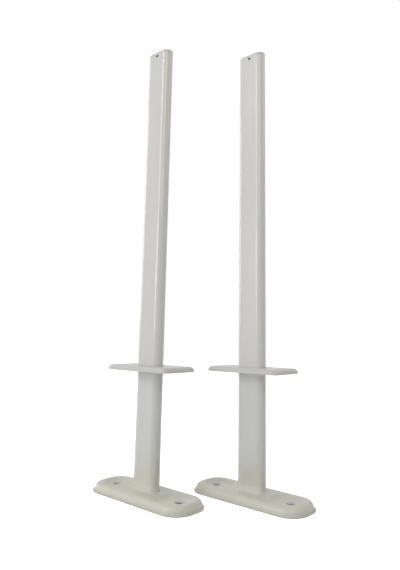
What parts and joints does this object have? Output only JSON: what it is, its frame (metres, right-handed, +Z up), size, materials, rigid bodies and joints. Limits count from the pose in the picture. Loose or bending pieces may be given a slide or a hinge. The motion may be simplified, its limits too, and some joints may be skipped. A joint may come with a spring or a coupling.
{
  "type": "pair of net posts",
  "caption": "Upright flat-oval net posts on oblong screw-down feet, each with a cover collar that slides along the post and stays where it is put.",
  "frame": {"origin": "on the floor, at the middle of the rectangle that both posts stand in, midway between them", "axes": "+Z up along the posts; X along the feet; Y across the feet, from the left post to the right one"},
  "size_m": [0.398, 0.227, 0.903],
  "materials": {
    "post_paint": "gloss off-white powder coat",
    "foot_paint": "gloss off-white powder coat",
    "cap_plastic": "satin moulded plastic",
    "collar_plastic": "gloss moulded plastic",
    "grip_rubber": "matt",
    "plate_steel": "zinc plated"
  },
  "bodies": {
    "posts": {"left_anchor_plate": "plate_steel", "left_foot_shell": "foot_paint", "left_post_tube": "post_paint", "left_end_cap": "cap_plastic", "right_anchor_plate": "plate_steel", "right_foot_shell": "foot_paint", "right_post_tube": "post_paint", "right_end_cap": "cap_plastic"},
    "left_slider": {"left_collar": "collar_plastic", "left_collar_grip": "grip_rubber"},
    "right_slider": {"right_collar": "collar_plastic", "right_collar_grip": "grip_rubber"}
  },
  "joints": [
    {"name": "left_collar_slide", "type": "slide", "parent": "posts", "child": "left_slider", "axis": [0, 0, 1], "range_m": [-0.217, 0.644]},
    {"name": "right_collar_slide", "type": "slide", "parent": "posts", "child": "right_slider", "axis": [0, 0, 1], "range_m": [-0.217, 0.644]}
  ]
}
